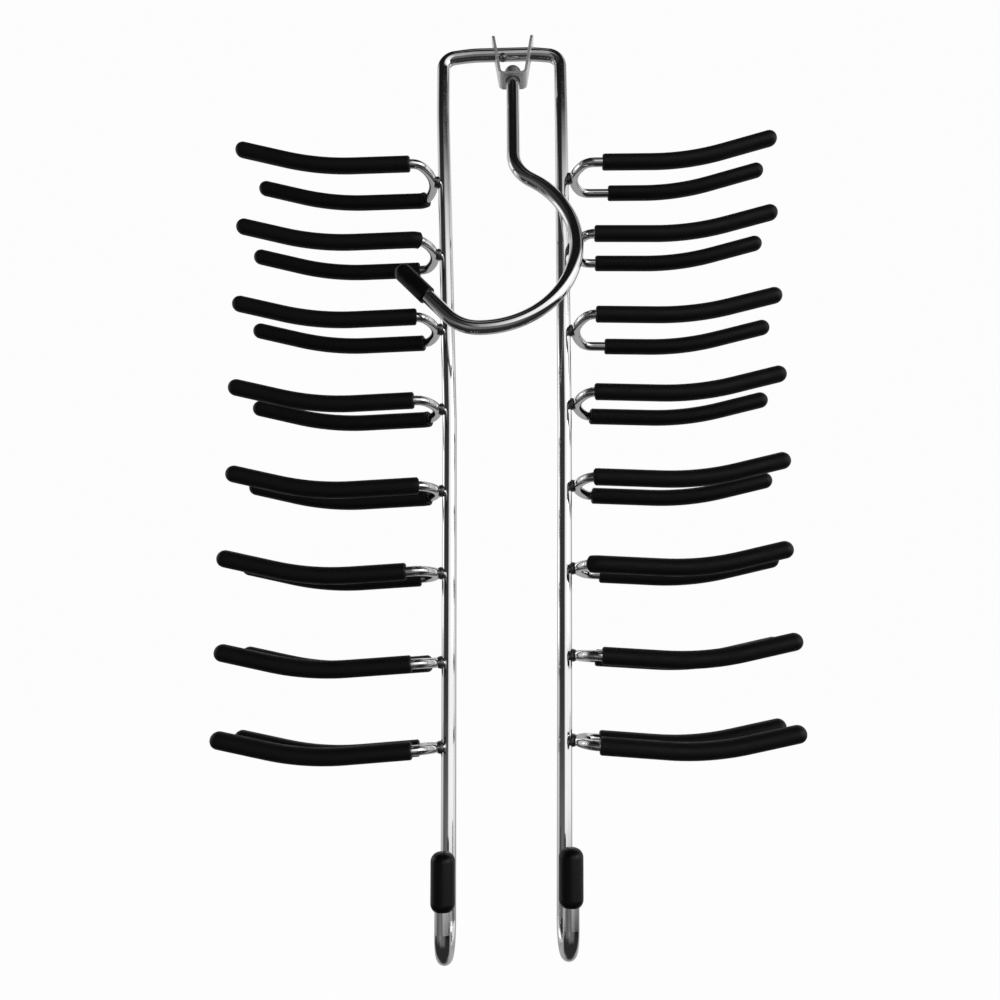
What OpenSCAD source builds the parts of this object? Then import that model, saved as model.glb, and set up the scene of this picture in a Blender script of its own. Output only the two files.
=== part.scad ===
// Tie hanger: a bent wire frame with eight pairs of hairpin arms in non-slip sleeves, and a hook that
// folds down on a bracket round the top bar. All sizes are in millimetres and degrees.
// The origin is on the top bar's axis, midway between the legs. X is right, Y is back and Z is up.

/* [Frame] */
// Diameter of the frame's wire
frame_wire = 6; // [5:0.5:7]
// Distance between the legs, axis to axis, at the top
leg_spacing = 53.6; // [50:0.2:80]
// Length of the straight middle of the top bar
bar_flat = 20; // [16:1:24]
// Angle by which each end of the top bar droops
bar_droop = 7; // [0:1:10]
// Radius of the bend between the bar's middle and its ends
bar_bend_r = 60; // [30:1:70]
// Radius of the frame's top corners
corner_r = 6; // [4:0.5:8]
// Depth below the bar at which the legs start to lean inwards
lean_start = 30; // [20:1:50]
// Depth below the bar at which that lean changes
lean_change = 175; // [120:1:220]
// Lean of each leg above that change
upper_lean = 0.95; // [0:0.05:1.5]
// Lean of each leg below that change
lower_lean = 0.65; // [0:0.05:1.5]
// Radius of the legs' slight bends
leg_bend_r = 400; // [100:10:600]

/* [J-hooks at the foot] */
// Height from the lowest row of arms down to the bottom of the J-hooks
foot_drop = 76; // [60:1:140]
// Radius of the J-hooks' bend
j_bend_r = 10; // [7:0.5:14]
// Straight wire between that bend and the end cap
j_rise = 7; // [2:0.5:20]
// Outer diameter of the end caps
cap_d = 9; // [8:0.1:12]
// Length of the end caps
cap_len = 21; // [15:0.5:30]
// Rounding of the end caps' edges
cap_round = 3.4; // [1:0.1:3.6]
// Thickness of an end cap beyond the end of its wire
cap_top = 2; // [1.5:0.1:4]

/* [Hairpins] */
// Depth of the first row of arms below the bar
first_row = 64; // [56:1:90]
// Distance from one row of arms to the next
row_pitch = 35; // [29:1:50]
// Diameter of the hairpins' wire
arm_wire = 4; // [3:0.25:5]
// Distance between the two arms of a hairpin
arm_spacing = 30; // [24:1:40]
// Angle that half of the hairpin's bowed back turns through
bow_angle = 30; // [20:1:40]
// Radius of the corners between the back and the arms
bow_corner_r = 5.5; // [4:0.5:8]
// Gap between the leg and the hairpin's back, bridged by the weld
weld_gap = 0.2; // [0.1:0.05:0.5]
// Radius of the weld beads
bead_r = 2.6; // [2.2:0.1:3]
// Distance from the leg's axis to the start of the arms' upward curve
arm_flat = 38; // [25:1:50]
// Radius of the arms' upward curve
arm_curve_r = 110; // [60:5:200]
// Angle of the arms' upward curve
arm_curve = 16; // [5:1:25]
// Distance from the leg's axis to the end of the arms' wire
arm_reach = 87.5; // [75:0.5:120]
// Droop of the arms where they leave the leg, on average
arm_droop = 2.5; // [0:0.5:6]
// Difference in droop between the top and the bottom row
droop_fan = 3.5; // [0:0.5:6]

/* [Sleeves] */
// Outer diameter of the sleeves
sleeve_d = 7; // [6.5:0.1:9]
// Clearance between a sleeve or cap and the wire in it
sleeve_clearance = 0.05; // [0.02:0.01:0.2]
// Distance from the end of an arm's wire to the end of its sleeve
sleeve_tip = 3.75; // [3.6:0.05:6]
// Length of the bevel at a sleeve's open end
sleeve_bevel = 0.5; // [0.2:0.1:1]

/* [Swivel bracket] */
// Width of the bracket's strip
strip_w = 9.4; // [8.8:0.1:12]
// Thickness of the bracket's strip
strip_t = 1.2; // [0.8:0.1:1.6]
// Sideways place of the bracket on the bar
bracket_x = 4.7; // [4.5:0.1:6]
// Half the distance between the ears at the bar, middle to middle of the strip
ear_half_gap = 7.85; // [7.5:0.05:9]
// Outward splay of each ear
ear_splay = 7.8; // [0:0.2:12]
// Height of the ears above the bar's axis
ear_top = 9.5; // [8:0.1:12]
// Depth of the web's underside below the bar's axis
web_drop = 16.2; // [15:0.1:24]
// Inner radius of the bracket's two bends
strip_bend_r = 1.5; // [0.8:0.1:2]
// Clearance between the bar and the holes in the ears
bar_clearance = 0.35; // [0.25:0.05:0.6]
// Clearance between the hook's stem and the hole in the web
stem_clearance = 0.3; // [0.2:0.05:0.6]
// Tilt of the folded bracket and hook, forwards from straight down
fold_tilt = 10; // [9:0.5:20]

/* [Hook] */
// Diameter of the hook's wire
hook_wire = 6; // [5:0.5:7]
// Diameter of the stem's button head
head_d = 7.8; // [7.4:0.1:9]
// Height of the head's straight side under its dome
head_side = 2.9; // [1:0.1:3]
// Gap between the head and the web
head_gap = 0.1; // [0.05:0.05:0.3]
// Depth below the bar at which the stem's bend starts
stem_end = 58.3; // [50:0.1:70]
// Radius of the stem's bend
stem_bend_r = 16.7; // [10:0.1:25]
// Angle of the stem's bend
stem_bend = 57; // [40:1:60]
// Radius of the hook's large loop
loop_r = 40; // [30:0.5:42]
// Radius of the tighter bend before the tip
tip_bend_r = 17; // [12:0.5:25]
// Angle of the tighter bend before the tip
tip_bend = 48; // [30:1:60]
// Straight wire between that bend and the tip cap
tip_bare = 13; // [5:0.5:20]
// Outer diameter of the tip cap
tip_cap_d = 7.8; // [7:0.1:10]
// Length of the tip cap
tip_cap_len = 19; // [12:0.5:25]
// Thickness of the tip cap beyond the end of the wire
tip_cap_end = 2.5; // [1.5:0.1:4]

/* [Stop nub] */
// Sideways place of the nub
nub_x = 0.2; // [0:0.1:0.5]
// Radius of the nub
nub_r = 2; // [1.5:0.1:2.2]
// How far the nub stands out from the bar's surface
nub_rise = 1.9; // [1:0.1:2.2]
// Angle of the nub, forwards from straight below the bar
nub_angle = 30; // [0:5:60]

/* [Workmanship] */
// Share of the small unevenness that bending and welding by hand leaves
hand_scatter = 1; // [0:0.1:1]
// Smoothness of round surfaces
$fn = 48; // [24:8:96]

/* [Hidden] */
ROWS = 8;
SIDES = ["left", "right"];
NEAR = 0;
FAR = 1;
ARMS = ["near", "far"];

// How far straight stretches run into the bends beside them, and how much thicker the bender leaves a bend.
LAP = 0.05;
BEND_SWELL = 0.02;
// Straight wire between two bends that follow each other closely.
BEND_LINK = 0.4;
// Gap that keeps a weld bead apart from the wires it joins.
SEAM = 0.03;
// How far a cutting shape runs past the face it opens.
CUT = 1;

CHROME = [0.78, 0.79, 0.8];
BLACK_VINYL = [0.09, 0.09, 0.09];

// What the bending jig left on each leg: wider by, extra lean above, extra lean below, foot lower by and
// toe out by.
LEG_SCATTER = [
  [0.4, 0.5, -0.5, 0.8, 1],
  [-0.3, -0.45, 0.5, -0.7, 4.5]
];
// What the welder left on each hairpin, top row first: raised by, near arm down by this angle, and how far
// the near and the far sleeve stand off the place where their arm becomes straight.
ARM_SCATTER = [
  [
    [0, -1, 0.5, -4],
    [0, 1, -3.5, 0],
    [0, 0, -1.5, -1.5],
    [-1, 1, 0, -3.5],
    [-1.5, 2, -2, -3.5],
    [-1, 1, 2.5, 0],
    [-2, 1, 0, -4],
    [0, -2, -0.5, 0]
  ],
  [
    [0.5, 5, 3.5, 8.5],
    [1.5, 2, -0.5, 2],
    [-1.5, -5, -0.5, 5.5],
    [0.5, -3, -1.5, -1.5],
    [0, -3, -2, -1],
    [0.5, -1, -4, 2],
    [0.5, 0, 0.5, 0],
    [2.5, 2, -0.5, 1.5]
  ]
];
// Share of a sleeve's stand-off that its far end shows too; the rest is a difference in its cut length.
TIP_SHARE = 0.4;

function leg_half(side) = leg_spacing / 2 + hand_scatter * LEG_SCATTER[side][0];
function leg_upper_lean(side) = upper_lean + hand_scatter * LEG_SCATTER[side][1];
function leg_lower_lean(side) = lower_lean + hand_scatter * LEG_SCATTER[side][2];
function foot_depth(side) = row_depth(ROWS - 1) + foot_drop + hand_scatter * LEG_SCATTER[side][3];
function j_toe(side) = hand_scatter * LEG_SCATTER[side][4];
function row_depth(row) = first_row + row * row_pitch;
function row_droop(row) = arm_droop + droop_fan * (row / (ROWS - 1) - 0.5);
function arc_len(r, angle) = r * angle * PI / 180;

// Distance of a leg's axis from the middle of the hanger at a depth below the bar.
function leg_x(side, depth) = leg_half(side)
  - max(0, min(depth, lean_change) - lean_start) * tan(leg_upper_lean(side))
  - max(0, depth - lean_change) * tan(leg_lower_lean(side));
function leg_lean(side, depth) = depth > lean_change ? leg_lower_lean(side) : leg_upper_lean(side);

// The straight piece of the drooping bar end that brings the corner out to the leg.
function bar_end_len(side) =
  (leg_half(side) - bar_flat / 2 - bar_bend_r * sin(bar_droop) - corner_r * (1 - sin(bar_droop)))
  / cos(bar_droop);
function corner_depth(side) =
  bar_bend_r * (1 - cos(bar_droop)) + bar_end_len(side) * sin(bar_droop) + corner_r * cos(bar_droop);
function leg_tangent(angle) = leg_bend_r * tan(abs(angle) / 2);

// One half of the frame from the end of the bar's straight middle, as steps of the wire bender:
// feed, roll, radius of the bend, angle of the bend.
function half_frame(side) =
  let (
    upper = leg_upper_lean(side),
    turn = leg_lower_lean(side) - upper,
    bend_depth = foot_depth(side) - frame_wire / 2 - j_bend_r
  )
  [
    [0, 0, bar_bend_r, bar_droop],
    [bar_end_len(side), 0, corner_r, 90 - bar_droop],
    [lean_start - corner_depth(side) - leg_tangent(upper), 0, leg_bend_r, upper],
    [(lean_change - lean_start) / cos(upper) - leg_tangent(upper) - leg_tangent(turn), 0, leg_bend_r, turn],
    [(bend_depth - lean_change) / cos(upper + turn) - leg_tangent(turn), -90 - j_toe(side), j_bend_r, 180]
  ];

// The hairpin's bowed back turns by bow_angle to each side, and its corners turn the rest.
BOW_R = (arm_spacing / 2 - bow_corner_r * (1 - sin(bow_angle)) - BEND_LINK * cos(bow_angle)) / sin(bow_angle);
BOW_CORNER = 90 - bow_angle;
CORNER_STEP = [BEND_LINK, 0, bow_corner_r, BOW_CORNER];
BACK_X = frame_wire / 2 + weld_gap + arm_wire / 2;
ARM_START_X =
  BACK_X + BOW_R * (1 - cos(bow_angle)) + BEND_LINK * sin(bow_angle) + bow_corner_r * sin(BOW_CORNER);
WIRE_END = arm_reach - ARM_START_X;

HEAD_BOTTOM = -web_drop + strip_t + head_gap;
HEAD_BEVEL = 0.3;
HOOK_STEPS = [
  [stem_end + HEAD_BOTTOM, 0, stem_bend_r, stem_bend],
  [BEND_LINK, 180, loop_r, stem_bend + 90],
  [BEND_LINK, 0, tip_bend_r, tip_bend]
];

// Draws a wire or strip along its bending steps, from the origin along +X, with bends towards +Z.
// The first child is the section in the bends and the second child the section in between, with the
// stock's width along X and its thickness along Y. Stretches run into the bends that they meet.
module bent_stock(steps, i = 0) {
  if (i < len(steps)) {
    feed = steps[i][0];
    if (feed > 0) {
      back = i > 0 ? LAP : 0;
      ahead = steps[i][3] != 0 ? LAP : 0;
      translate([-back, 0, 0]) rotate([90, 0, 90]) linear_extrude(feed + back + ahead) children(1);
    }
    translate([feed, 0, 0]) rotate([steps[i][1], 0, 0]) {
      bend_arc(steps[i][2], steps[i][3]) children(0);
      after_bend(steps[i][2], steps[i][3]) bent_stock(steps, i + 1) {
        children(0);
        children(1);
      }
    }
  }
}

// The curved part of one bend; a negative angle bends towards -Z.
module bend_arc(r, angle) {
  if (angle != 0) {
    rotate([angle < 0 ? 180 : 0, 0, 0]) translate([0, 0, r]) rotate([90, 0, 0]) rotate([0, 0, -90])
      rotate_extrude(angle = abs(angle)) translate([r, 0]) rotate(90) children();
  }
}

// Moves its children from the start of a bend to its end.
module after_bend(r, angle) {
  side = angle < 0 ? -1 : 1;
  translate([r * sin(abs(angle)), 0, side * r * (1 - cos(angle))]) rotate([0, -angle, 0]) children();
}

// Moves its children to the end of a list of bending steps, with +X along the wire.
module at_end_of(steps, i = 0) {
  if (i < len(steps)) {
    translate([steps[i][0], 0, 0]) rotate([steps[i][1], 0, 0])
      after_bend(steps[i][2], steps[i][3]) at_end_of(steps, i + 1) children();
  } else {
    children();
  }
}

module on_side(side) {
  if (side == 0) {
    mirror([1, 0, 0]) children();
  } else {
    children();
  }
}

module wire(steps, d) {
  bent_stock(steps) {
    circle(d = d);
    circle(d = d - BEND_SWELL);
  }
}

module rod_along_x(length, d) {
  rotate([0, 90, 0]) cylinder(h = length, d = d);
}

module frame_wire() {
  color(CHROME) {
    translate([-bar_flat / 2 - LAP, 0, 0]) rod_along_x(bar_flat + 2 * LAP, frame_wire - BEND_SWELL);
    for (side = [0, 1]) {
      on_side(side) rotate([180, 0, 0]) translate([bar_flat / 2, 0, 0])
        wire(concat(half_frame(side), [[j_rise + cap_len - cap_top, 0, 0, 0]]), frame_wire);
    }
  }
}

// A weld bead under the bar, which keeps the bracket from sliding past the middle.
module stop_nub() {
  color(CHROME)
    difference() {
      rotate([-nub_angle, 0, 0]) translate([nub_x, 0, nub_r - frame_wire / 2 - nub_rise]) sphere(nub_r);
      translate([-bar_flat / 2, 0, 0]) rod_along_x(bar_flat, frame_wire + 2 * SEAM);
    }
}

// A vinyl cap with both edges rounded, drawn over a wire along +X.
module end_cap(side) {
  color(BLACK_VINYL)
    on_side(side) rotate([180, 0, 0]) translate([bar_flat / 2, 0, 0])
      at_end_of(half_frame(side)) translate([j_rise, 0, 0]) difference() {
        rotate([0, 90, 0]) rotate_extrude()
          intersection() {
            union() {
              translate([0, cap_round]) square([cap_d / 2, cap_len - 2 * cap_round]);
              square([cap_d / 2 - cap_round, cap_len]);
              for (y = [cap_round, cap_len - cap_round]) {
                translate([cap_d / 2 - cap_round, y]) circle(cap_round);
              }
            }
            square([cap_d, cap_len]);
          }
        translate([-CUT, 0, 0])
          rod_along_x(cap_len - cap_top + sleeve_clearance + CUT, frame_wire + 2 * sleeve_clearance);
      }
}

// Places a hairpin's own frame, with its leg's axis at the origin and the arms along +X.
module at_row(side, row) {
  raise = hand_scatter * ARM_SCATTER[side][row][0];
  twist = hand_scatter * ARM_SCATTER[side][row][1];
  depth = row_depth(row) - raise;
  on_side(side) translate([leg_x(side, depth), 0, -depth])
    rotate([twist, 0, 0]) rotate([0, row_droop(row), 0]) children();
}

// Places one end of the bowed back: +X along the wire and +Z towards the inside of the bend.
module at_bow_end(arm) {
  mirror([0, arm, 0]) translate([BACK_X, 0, 0]) rotate([0, 0, -90]) rotate([-90, 0, 0])
    after_bend(BOW_R, bow_angle) children();
}

module bow(d) {
  translate([BACK_X + BOW_R, 0, 0]) rotate([0, 0, 180 - bow_angle]) rotate_extrude(angle = 2 * bow_angle)
    translate([BOW_R, 0]) circle(d = d);
}

// Places the start of an arm's straight stretch: +X along the arm and -Y up.
module at_arm(arm) {
  at_bow_end(arm) at_end_of([CORNER_STEP]) children();
}

// Where along an arm its upward curve starts, and how much wire follows that curve.
ARM_CURVE_START = arm_flat - ARM_START_X;
function arm_rest(to) = to - ARM_CURVE_START - arc_len(arm_curve_r, arm_curve);
function corner_angle(from) = -min(from, 0) / arc_len(bow_corner_r, 1);
function arm_steps(start, to) = [
  [ARM_CURVE_START - start, 90, arm_curve_r, arm_curve],
  [arm_rest(to), 0, 0, 0]
];

// Stock along an arm, between two distances from the start of its straight stretch.
// A negative start lies on the hairpin's corner.
module arm_run(from, to, d) {
  arm_to_curve(from, to, d);
  at_end_of([arm_steps(0, to)[0]])
    translate([-LAP, 0, 0]) rod_along_x(arm_rest(to) + LAP, d - BEND_SWELL);
}

// The same stock, but with a domed end.
module sleeve_tube(from, to) {
  arm_to_curve(from, to, sleeve_d);
  at_end_of([arm_steps(0, to)[0]])
    translate([-LAP, 0, 0]) domed_rod(arm_rest(to) + LAP, sleeve_d - BEND_SWELL);
}

module arm_to_curve(from, to, d) {
  start = max(from, 0);
  back = from < 0 ? LAP : 0;
  if (from < 0) {
    rotate([0, 0, 180]) wire([[0, 0, bow_corner_r, corner_angle(from)]], d);
  }
  translate([start - back, 0, 0]) wire([arm_steps(start - back, to)[0]], d);
}

// A round rod along +X whose far end is a dome beyond its length.
module domed_rod(length, d) {
  rotate([0, 90, 0]) rotate_extrude()
    intersection() {
      union() {
        square([d / 2, length]);
        translate([0, length]) circle(d = d);
      }
      square([d, length + d]);
    }
}

module hairpin(side, row) {
  color(CHROME)
    at_row(side, row) {
      bow(arm_wire);
      for (arm = [NEAR, FAR]) {
        at_bow_end(arm) {
          translate([-LAP, 0, 0]) rod_along_x(BEND_LINK + 2 * LAP, arm_wire - BEND_SWELL);
          translate([BEND_LINK, 0, 0]) bend_arc(bow_corner_r, BOW_CORNER) circle(d = arm_wire);
        }
        at_arm(arm) translate([-LAP, 0, 0]) wire(arm_steps(-LAP, WIRE_END), arm_wire);
      }
    }
}

// A vinyl tube over one arm, with a closed round tip and a bevelled open end.
module sleeve(side, row, arm) {
  slip = hand_scatter * ARM_SCATTER[side][row][2 + arm];
  root = slip + sleeve_bevel;
  tip = WIRE_END + sleeve_tip + TIP_SHARE * slip - sleeve_d / 2;
  color(BLACK_VINYL)
    at_row(side, row) at_arm(arm)
      difference() {
        union() {
          sleeve_tube(root, tip);
          translate([max(root, 0), 0, 0]) rotate([0, 0, 180])
            at_end_of([[0, 0, bow_corner_r, corner_angle(root)]]) translate([-LAP, 0, 0]) rotate([0, 90, 0])
              cylinder(h = sleeve_bevel + LAP, d1 = sleeve_d - 2 * BEND_SWELL, d2 = sleeve_d - 2 * sleeve_bevel);
        }
        arm_run(slip - CUT, WIRE_END + sleeve_clearance, arm_wire + 2 * sleeve_clearance);
      }
}

// The beads that weld one side's hairpins to their leg.
module weld_beads(side) {
  $fn = 144;
  color(CHROME)
    for (row = [0 : ROWS - 1]) {
      depth = row_depth(row) - hand_scatter * ARM_SCATTER[side][row][0];
      difference() {
        at_row(side, row) translate([(frame_wire + weld_gap) / 2, 0, 0]) rotate([0, 90, 0]) sphere(bead_r);
        on_side(side) translate([leg_x(side, depth), 0, -depth]) rotate([0, leg_lean(side, depth), 0])
          cylinder(h = 4 * bead_r, d = frame_wire + 2 * SEAM, center = true);
        at_row(side, row) bow(arm_wire + 2 * SEAM);
      }
    }
}

// Places the folded bracket's and hook's own frame: the bar's axis along X and the stem down -Z.
module folded() {
  translate([bracket_x, 0, 0]) rotate([-fold_tilt, 0, 0]) children();
}

// A steel strip bent to a U, with its ears round the bar and its web under the hook's head.
module swivel_bracket() {
  mid_r = strip_bend_r + strip_t / 2;
  mid_drop = web_drop - strip_t / 2;
  bend = 90 - ear_splay;
  web_half = ear_half_gap - mid_drop * tan(ear_splay) - mid_r * tan(bend / 2);
  ear_len = (mid_drop + ear_top + strip_t) / cos(ear_splay);
  bar_hole_d = frame_wire + 2 * bar_clearance;
  color(CHROME)
    folded() difference() {
      intersection() {
        for (side = [0, 1]) {
          on_side(side) translate([0, 0, -mid_drop])
            bent_stock([[web_half, 0, mid_r, bend], [ear_len, 0, 0, 0]]) {
              square([strip_w, strip_t], center = true);
              square([strip_w - BEND_SWELL, strip_t - BEND_SWELL], center = true);
            }
        }
        rotate([90, 0, 90]) translate([0, 0, -2 * ear_half_gap]) linear_extrude(4 * ear_half_gap)
          union() {
            translate([-strip_w, -2 * web_drop]) square([2 * strip_w, 2 * web_drop + ear_top - strip_w / 2]);
            translate([0, ear_top - strip_w / 2]) circle(d = strip_w);
          }
      }
      translate([-2 * ear_half_gap, 0, 0]) rod_along_x(4 * ear_half_gap, bar_hole_d);
      translate([0, 0, -web_drop - CUT]) cylinder(h = strip_t + 2 * CUT, d = hook_wire + 2 * stem_clearance);
    }
}

// One wire with a button head above the web, a stem, a bend and a large loop.
module hook() {
  color(CHROME)
    folded() {
      translate([0, 0, HEAD_BOTTOM]) {
        rotate_extrude()
          intersection() {
            union() {
              polygon([
                [0, 0],
                [head_d / 2 - HEAD_BEVEL, 0],
                [head_d / 2, HEAD_BEVEL],
                [head_d / 2, head_side],
                [0, head_side]
              ]);
              translate([0, head_side]) circle(d = head_d);
            }
            square([head_d, head_d + head_side]);
          }
        rotate([0, 90, 0])
          wire(concat(HOOK_STEPS, [[tip_bare + tip_cap_len - tip_cap_end, 0, 0, 0]]), hook_wire);
      }
    }
}

// The vinyl cap on the hook's tip.
module hook_tip_cap() {
  color(BLACK_VINYL)
    folded() translate([0, 0, HEAD_BOTTOM]) rotate([0, 90, 0])
      at_end_of(HOOK_STEPS) translate([tip_bare, 0, 0]) difference() {
        union() {
          rotate([0, 90, 0]) cylinder(h = sleeve_bevel, d1 = tip_cap_d - 2 * sleeve_bevel, d2 = tip_cap_d);
          translate([sleeve_bevel, 0, 0]) rod_along_x(tip_cap_len - tip_cap_d / 2 - sleeve_bevel, tip_cap_d);
          translate([tip_cap_len - tip_cap_d / 2, 0, 0]) sphere(d = tip_cap_d);
        }
        translate([-CUT, 0, 0])
          rod_along_x(tip_cap_len - tip_cap_end + sleeve_clearance + CUT, hook_wire + 2 * sleeve_clearance);
      }
}

frame_wire();
stop_nub();
swivel_bracket();
hook();
hook_tip_cap();
for (side = [0, 1]) {
  weld_beads(side);
  end_cap(side);
  for (row = [0 : ROWS - 1]) {
    hairpin(side, row);
    for (arm = [NEAR, FAR]) {
      sleeve(side, row, arm);
    }
  }
}
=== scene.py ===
import math

import bmesh
import bpy
from mathutils import Matrix, Vector

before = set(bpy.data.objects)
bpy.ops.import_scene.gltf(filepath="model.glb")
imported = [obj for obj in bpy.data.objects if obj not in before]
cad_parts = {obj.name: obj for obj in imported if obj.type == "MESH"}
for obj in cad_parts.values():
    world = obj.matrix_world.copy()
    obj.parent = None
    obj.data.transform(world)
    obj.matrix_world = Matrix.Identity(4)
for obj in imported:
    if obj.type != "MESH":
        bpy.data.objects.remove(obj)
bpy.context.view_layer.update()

# Camera: stands close in front of the lower half of the hanger and looks slightly up, as the
# photographer's did, so that each row of arms is seen from a different height.
CAMERA_PLACE = (0.00832, -0.3679, -0.2838)
CAMERA_YAW = math.radians(-1.661)
CAMERA_PITCH = math.radians(11.366)
CAMERA_ROLL = math.radians(-0.332)
LEVEL_LOOK = math.radians(90)
LENS_MM = 32.46
SENSOR_MM = 36
NEAREST_SEEN = 0.01

camera = bpy.data.objects.new("camera", bpy.data.cameras.new("camera"))
bpy.context.scene.collection.objects.link(camera)
bpy.context.scene.camera = camera
camera.data.lens = LENS_MM
camera.data.sensor_width = SENSOR_MM
camera.data.clip_start = NEAREST_SEEN
camera.matrix_world = (
    Matrix.Translation(CAMERA_PLACE)
    @ Matrix.Rotation(-CAMERA_YAW, 4, "Z")
    @ Matrix.Rotation(LEVEL_LOOK + CAMERA_PITCH, 4, "X")
    @ Matrix.Rotation(CAMERA_ROLL, 4, "Z")
)

# Studio: a dim room with white panels round the hanger, as chrome is lit for a shop photograph. The
# metal mirrors the panels and the dark between them, which draws the bands along each wire. The
# camera sees plain white behind.

# Each panel: where it starts and ends round the room and up it, how soft its edges are, all in
# degrees, and its level. Round the room, 0 is straight in front and plus is to the right.
PANELS = {
    "right_softbox": {"round": (2, 120), "up": (-12, 31), "soft": (19, 5), "level": 1.35},
    "left_card": {"round": (-132, -86), "up": (-14, 42), "soft": (14, 9), "level": 0.9},
    "table": {"round": (-200, 200), "up": (-100, -22), "soft": (1, 6), "level": 0.025},
    "left_flag": {"round": (-82, -14), "up": (-35, 32), "soft": (8, 6), "level": 0.035},
    "low_left": {"round": (-82, -14), "up": (-28, -4), "soft": (8, 5), "level": 0.11},
    "camera_side": {"round": (-40, 40), "up": (-46, -12), "soft": (15, 9), "level": 0.16},
    "front_ceiling": {"round": (-16, 16), "up": (60, 84), "soft": (8, 5), "level": 0.25},
    "upper_right_wall": {"round": (72, 140), "up": (31, 62), "soft": (14, 7), "level": 0.4},
    "right_back_wall": {"round": (125, 200), "up": (-50, 60), "soft": (10, 15), "level": 0.45},
    "right_back_card": {"round": (128, 200), "up": (27, 64), "soft": (12, 8), "level": 0.55},
    "left_back_wall": {"round": (-200, -130), "up": (-50, 60), "soft": (10, 15), "level": 0.42},
    "left_back_card": {"round": (-200, -140), "up": (27, 64), "soft": (12, 8), "level": 0.55},
}
DIM_LEVEL = 0.01
ROOM_LEVEL = 0.45
BACKGROUND_LEVEL = 0.98


def colour(code):
    """The linear colour of an sRGB hex code such as "#1A1A1A"."""
    parts = [int(code[i : i + 2], 16) / 255 for i in (1, 3, 5)]
    linear = [p / 12.92 if p <= 0.04045 else ((p + 0.055) / 1.055) ** 2.4 for p in parts]
    return (*linear, 1)


def add_node(tree, kind, inputs=None, **settings):
    """Adds a node. inputs gives each socket a value, or the output that feeds it."""
    node = tree.nodes.new(kind)
    for name, value in settings.items():
        setattr(node, name, value)
    for name, value in (inputs or {}).items():
        if isinstance(value, bpy.types.NodeSocket):
            tree.links.new(value, node.inputs[name])
        else:
            node.inputs[name].default_value = value
    return node


room = bpy.data.worlds.new("white_room")
bpy.context.scene.world = room
room.use_nodes = True
tree = room.node_tree
tree.nodes.clear()
direction = add_node(tree, "ShaderNodeTexCoord").outputs["Generated"]
axes = add_node(tree, "ShaderNodeSeparateXYZ", {"Vector": direction}).outputs
forward = add_node(tree, "ShaderNodeMath", {0: axes["Y"], 1: -1}, operation="MULTIPLY")
round_room = add_node(
    tree, "ShaderNodeMath", {0: axes["X"], 1: forward.outputs[0]}, operation="ARCTAN2"
)
up_room = add_node(tree, "ShaderNodeMath", {0: axes["Z"]}, operation="ARCSINE")


def fade(angle, edge, soft, near, far):
    """A level that goes smoothly from near to far where an angle of the room passes an edge."""
    levels = {"Value": angle.outputs[0], "To Min": near, "To Max": far}
    levels["From Min"] = math.radians(edge - soft)
    levels["From Max"] = math.radians(edge + soft)
    return add_node(
        tree, "ShaderNodeMapRange", levels, interpolation_type="SMOOTHSTEP"
    ).outputs["Result"]


mirrored = DIM_LEVEL
for panel in PANELS.values():
    soft_round, soft_up = panel["soft"]
    lit_panel = fade(round_room, panel["round"][0], soft_round, 0, 1)
    for share in (
        fade(round_room, panel["round"][1], soft_round, 1, 0),
        fade(up_room, panel["up"][0], soft_up, 0, 1),
        fade(up_room, panel["up"][1], soft_up, 1, 0),
        panel["level"],
    ):
        lit_panel = add_node(
            tree, "ShaderNodeMath", {0: lit_panel, 1: share}, operation="MULTIPLY"
        ).outputs[0]
    mirrored = add_node(
        tree, "ShaderNodeMath", {0: lit_panel, 1: mirrored}, operation="ADD"
    ).outputs[0]

ray = add_node(tree, "ShaderNodeLightPath")
lit = add_node(
    tree,
    "ShaderNodeMix",
    {"Factor": ray.outputs["Is Glossy Ray"], "A": ROOM_LEVEL, "B": mirrored},
)
seen = add_node(
    tree,
    "ShaderNodeMix",
    {
        "Factor": ray.outputs["Is Camera Ray"],
        "A": lit.outputs["Result"],
        "B": BACKGROUND_LEVEL,
    },
)
white = add_node(
    tree,
    "ShaderNodeBackground",
    {"Color": colour("#FFFFFF"), "Strength": seen.outputs["Result"]},
)
add_node(tree, "ShaderNodeOutputWorld", {"Surface": white.outputs[0]})

# Floor: a plain pale floor well below the hanger, which hangs free. The camera sees it white, with a
# part of its own shading left in, so that it keeps the object's shadow. The chrome mirrors the
# room's panels instead of it.
FLOOR_DEPTH = -0.75
FLOOR_HALF = 12
FLOOR_WHITE_SHARE = 0.94
FLOOR_WHITE_LEVEL = 1.019

floor_shape = bmesh.new()
bmesh.ops.create_grid(floor_shape, x_segments=1, y_segments=1, size=FLOOR_HALF)
bmesh.ops.translate(floor_shape, verts=floor_shape.verts, vec=(0, 0, FLOOR_DEPTH))
floor_mesh = bpy.data.meshes.new("floor")
floor_shape.to_mesh(floor_mesh)
floor_shape.free()
floor = bpy.data.objects.new("floor", floor_mesh)
bpy.context.scene.collection.objects.link(floor)
floor.visible_glossy = False

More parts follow.
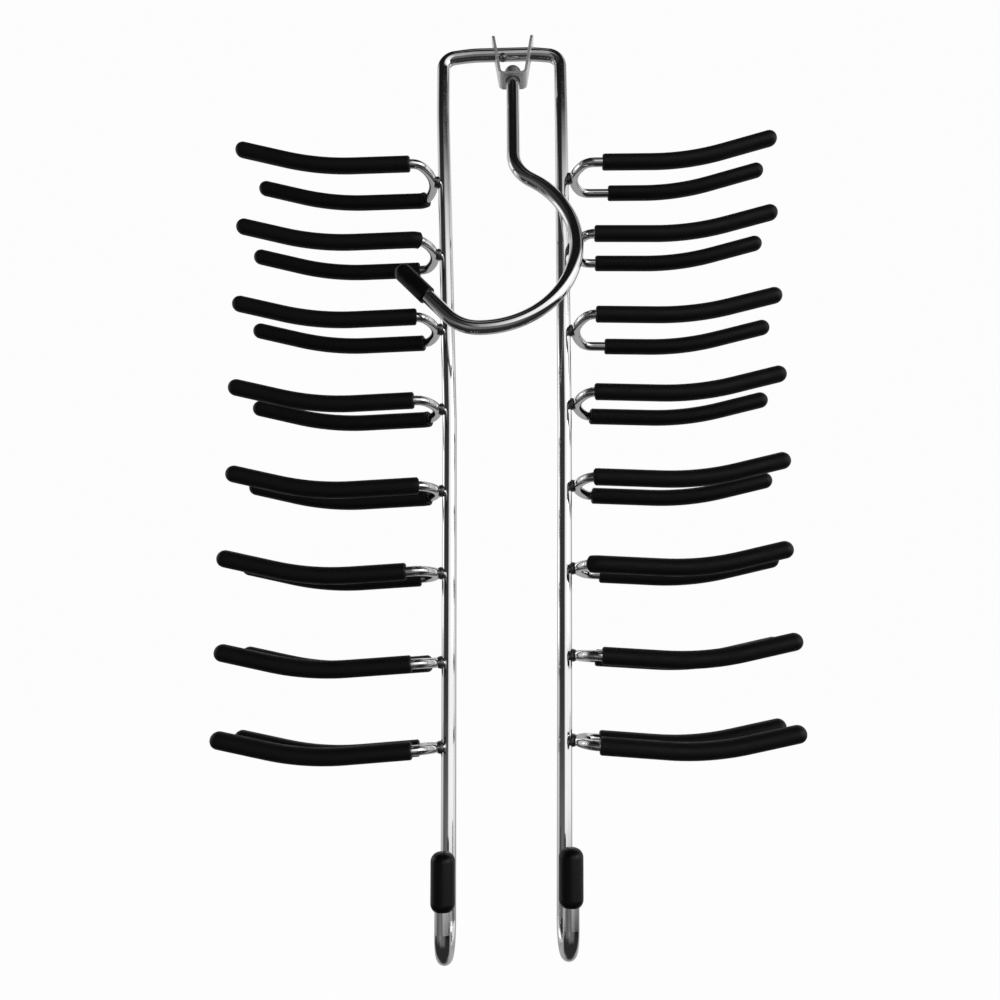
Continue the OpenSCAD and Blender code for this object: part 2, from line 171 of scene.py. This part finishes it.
floor_paint = bpy.data.materials.new("floor_paint")
floor_paint.use_nodes = True
tree = floor_paint.node_tree
tree.nodes.clear()
ray = add_node(tree, "ShaderNodeLightPath")
share = add_node(
    tree,
    "ShaderNodeMath",
    {0: ray.outputs["Is Camera Ray"], 1: FLOOR_WHITE_SHARE},
    operation="MULTIPLY",
)
matt = add_node(tree, "ShaderNodeBsdfDiffuse", {"Color": colour("#F4F4F4")})
glow = add_node(
    tree,
    "ShaderNodeEmission",
    {"Color": colour("#FFFFFF"), "Strength": FLOOR_WHITE_LEVEL},
)
both = add_node(
    tree,
    "ShaderNodeMixShader",
    {0: share.outputs[0], 1: matt.outputs[0], 2: glow.outputs[0]},
)
add_node(tree, "ShaderNodeOutputMaterial", {"Surface": both.outputs[0]})
floor_mesh.materials.append(floor_paint)

# Lamps: one behind the right softbox's cloth, and a weaker one at the left card. Both are aimed at
# the middle of the hanger and give the black vinyl its soft shading.
LAMPS = {
    "key_box": {"place": (1.1, -0.8, 0.1), "size": 0.6, "watts": 2.5},
    "fill_card": {"place": (-1.2, 0.4, 0.1), "size": 0.6, "watts": 1.2},
}
AIM = Vector((0, 0, -0.19))

for name, lamp in LAMPS.items():
    light = bpy.data.lights.new(name, "AREA")
    light.size = lamp["size"]
    light.energy = lamp["watts"]
    stand = bpy.data.objects.new(name, light)
    bpy.context.scene.collection.objects.link(stand)
    stand.location = lamp["place"]
    stand.rotation_mode = "QUATERNION"
    stand.rotation_quaternion = (AIM - stand.location).to_track_quat("-Z", "Y")

# Frame: one round steel wire, bent cold in a jig and then bright chrome plated. Plating over drawn
# wire is mirror smooth, but the drawn surface under it is a little wavy, so reflections waver along
# the legs.
WIRE_COLOUR = "#D2D2D2"
WIRE_HAZE = (0.05, 0.13)
WIRE_WAVE = 0.05
WAVE_LENGTH_MM = 18

# The haze is finer on real plate. It is drawn this coarse so that it shows.
HAZE_GRAIN_MM = 0.6
HAZE_NOISE = (0.35, 0.7)


def chrome_plate(name, code, haze, wave):
    """Chrome plate: haze is (least, most) roughness, wave the depth of the waver in mm."""
    material = bpy.data.materials.new(name)
    material.use_nodes = True
    tree = material.node_tree
    place = add_node(tree, "ShaderNodeTexCoord").outputs["Object"]
    waver = add_node(
        tree,
        "ShaderNodeTexNoise",
        {"Vector": place, "Scale": 1000 / WAVE_LENGTH_MM, "Detail": 1.0},
    )
    cloud = add_node(
        tree,
        "ShaderNodeTexNoise",
        {"Vector": place, "Scale": 1000 / HAZE_GRAIN_MM, "Detail": 3.0},
    )
    dulled = add_node(
        tree,
        "ShaderNodeMapRange",
        {
            "Value": cloud.outputs["Fac"],
            "From Min": HAZE_NOISE[0],
            "From Max": HAZE_NOISE[1],
            "To Min": haze[0],
            "To Max": haze[1],
        },
    )
    bump = add_node(
        tree,
        "ShaderNodeBump",
        {"Height": waver.outputs["Fac"], "Strength": 1.0, "Distance": wave / 1000},
    )
    shader = tree.nodes["Principled BSDF"]
    shader.inputs["Metallic"].default_value = 1
    shader.inputs["Base Color"].default_value = colour(code)
    tree.links.new(dulled.outputs["Result"], shader.inputs["Roughness"])
    tree.links.new(bump.outputs["Normal"], shader.inputs["Normal"])
    return material


def finish_node(node, material):
    """Gives a CAD node its finish."""
    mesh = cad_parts[node].data
    mesh.materials.clear()
    mesh.materials.append(material)


wire_chrome = chrome_plate("chrome_plated_drawn_wire", WIRE_COLOUR, WIRE_HAZE, WIRE_WAVE)
finish_node("frame_wire", wire_chrome)

# Stop nub and weld beads: the small lumps that resistance welding squeezes out, chromed with the
# rest. Plate takes thinly on the burnt steel, so they look matt and dark beside the wire.
WELD_COLOUR = "#6E6E6E"
WELD_HAZE = (0.28, 0.46)
WELD_WAVE = 0.06

weld_chrome = chrome_plate("chrome_plated_weld", WELD_COLOUR, WELD_HAZE, WELD_WAVE)
for node in ("stop_nub", "hairpin_left_weld_beads", "hairpin_right_weld_beads"):
    finish_node(node, weld_chrome)

# Swivel bracket: a punched steel strip folded to a U and chrome plated. It keeps the sheet's rolled,
# barrelled surface, so it has a pale satin gleam beside the mirror of the wire.
STRIP_COLOUR = "#EAEAEA"
STRIP_HAZE = (0.5, 0.62)
STRIP_WAVE = 0.02

strip_chrome = chrome_plate("chrome_plated_rolled_strip", STRIP_COLOUR, STRIP_HAZE, STRIP_WAVE)
finish_node("swivel_bracket", strip_chrome)

# Hook: the same chromed wire as the frame, with a button head upset on its end above the bracket's
# web. The die leaves the head's skin grainy under the plate, so it is satin where the drawn wire is
# a mirror.
HEAD_FOOT = -0.0156
HEAD_EDGE = 0.0006
HEAD_HAZE = 0.36

hook_chrome = chrome_plate("chrome_plated_upset_wire", WIRE_COLOUR, WIRE_HAZE, WIRE_WAVE)
tree = hook_chrome.node_tree
place = add_node(tree, "ShaderNodeTexCoord").outputs["Object"]
height = add_node(tree, "ShaderNodeSeparateXYZ", {"Vector": place}).outputs["Z"]
satin = add_node(
    tree,
    "ShaderNodeMapRange",
    {
        "Value": height,
        "From Min": HEAD_FOOT - HEAD_EDGE,
        "From Max": HEAD_FOOT + HEAD_EDGE,
        "To Min": 0,
        "To Max": HEAD_HAZE,
    },
)
skin = tree.nodes["Principled BSDF"].inputs["Roughness"]
wire_haze = skin.links[0].from_socket
haze = add_node(
    tree, "ShaderNodeMath", {0: wire_haze, 1: satin.outputs["Result"]}, operation="ADD"
)
tree.links.new(haze.outputs[0], skin)
finish_node("hook", hook_chrome)

# Hairpins: thinner wire bent to a U that lies flat, resistance welded to the outer side of a leg by
# its closed end, eight on each side. They go through the same plating bath as the frame.
SIDES = ("left", "right")
ROWS = range(1, 9)

for side in SIDES:
    for row in ROWS:
        finish_node(f"hairpin_{side}_{row}", wire_chrome)

# Sleeves: plasticised PVC tube with a closed tip, pushed over each arm. It is matt so that it grips
# silk, with a fine pebbled skin and a faint sheen along the top.
SLEEVE_COLOUR = "#0E0E0E"
SLEEVE_SHEEN = (0.45, 0.6)
SLEEVE_PEBBLE = 0.02
SMEAR_MM = 9
SMEAR_NOISE = (0.35, 0.65)
PVC_IOR = 1.5
PVC_SPECULAR = 0.19

# The pebble is finer on the real skin. It is drawn this coarse so that it shows.
PEBBLE_MM = 0.5


def soft_pvc(name, code, sheen, pebble):
    """Plasticised PVC: sheen is (least, most) roughness, pebble the depth of the skin in mm."""
    material = bpy.data.materials.new(name)
    material.use_nodes = True
    tree = material.node_tree
    place = add_node(tree, "ShaderNodeTexCoord").outputs["Object"]
    skin = add_node(
        tree,
        "ShaderNodeTexNoise",
        {"Vector": place, "Scale": 1000 / PEBBLE_MM, "Detail": 2.0},
    )
    smear = add_node(
        tree,
        "ShaderNodeTexNoise",
        {"Vector": place, "Scale": 1000 / SMEAR_MM, "Detail": 3.0},
    )
    dulled = add_node(
        tree,
        "ShaderNodeMapRange",
        {
            "Value": smear.outputs["Fac"],
            "From Min": SMEAR_NOISE[0],
            "From Max": SMEAR_NOISE[1],
            "To Min": sheen[0],
            "To Max": sheen[1],
        },
    )
    bump = add_node(
        tree,
        "ShaderNodeBump",
        {"Height": skin.outputs["Fac"], "Strength": 1.0, "Distance": pebble / 1000},
    )
    shader = tree.nodes["Principled BSDF"]
    shader.inputs["Base Color"].default_value = colour(code)
    shader.inputs["IOR"].default_value = PVC_IOR
    shader.inputs["Specular IOR Level"].default_value = PVC_SPECULAR
    tree.links.new(dulled.outputs["Result"], shader.inputs["Roughness"])
    tree.links.new(bump.outputs["Normal"], shader.inputs["Normal"])
    return material


sleeve_pvc = soft_pvc("matt_extruded_pvc", SLEEVE_COLOUR, SLEEVE_SHEEN, SLEEVE_PEBBLE)
for side in SIDES:
    for row in ROWS:
        for arm in ("near", "far"):
            finish_node(f"sleeve_{side}_{row}_{arm}", sleeve_pvc)

# End caps and hook tip cap: dip-moulded PVC with a rounded end, pushed onto the wire. It is thicker
# and a little glossier than the sleeves, with a smoother skin.
CAP_COLOUR = "#090909"
CAP_SHEEN = (0.28, 0.42)
CAP_PEBBLE = 0.015

cap_pvc = soft_pvc("dip_moulded_pvc", CAP_COLOUR, CAP_SHEEN, CAP_PEBBLE)
for node in ("end_cap_left", "end_cap_right", "hook_tip_cap"):
    finish_node(node, cap_pvc)

bpy.context.scene.view_settings.view_transform = "Standard"
